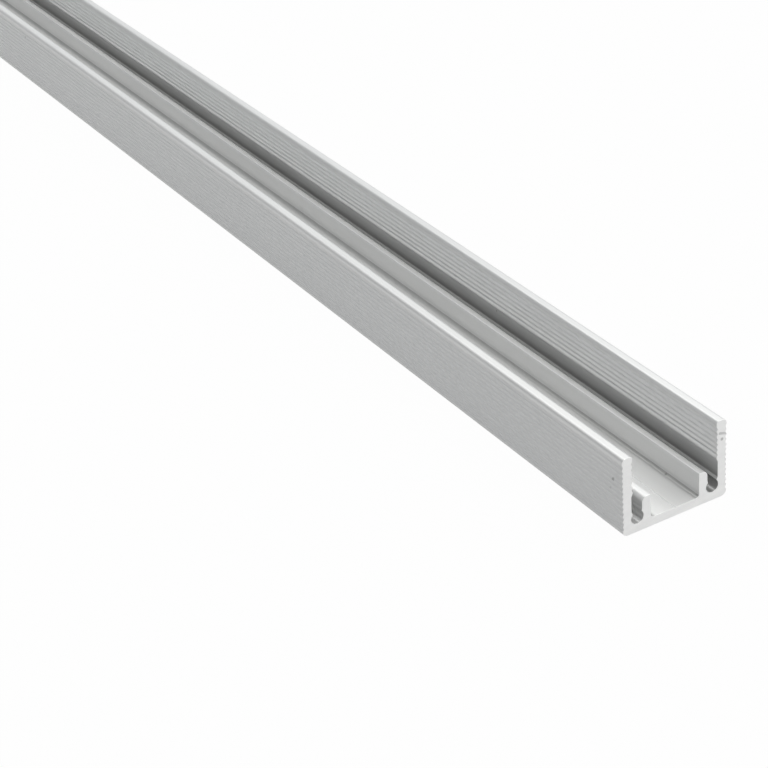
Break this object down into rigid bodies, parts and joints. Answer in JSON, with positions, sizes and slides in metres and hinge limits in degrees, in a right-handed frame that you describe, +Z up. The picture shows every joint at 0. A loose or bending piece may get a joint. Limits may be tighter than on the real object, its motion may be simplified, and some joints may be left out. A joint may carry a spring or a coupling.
{
  "type": "aluminium u-channel extrusion profile",
  "caption": "Straight length of satin anodised aluminium U-channel with serrated walls, inner ribs and keyhole screw ports, for a light strip and its cover.",
  "frame": {"origin": "under the middle of the base, halfway along the length", "axes": "+X along the extrusion, +Y across it, +Z up out of the channel's open side"},
  "size_m": [1, 0.0176, 0.0124],
  "materials": {
    "anodised_aluminium": "satin clear anodised, with bare sawn ends"
  },
  "bodies": {
    "root": {"channel_profile": "anodised_aluminium"}
  },
  "joints": []
}
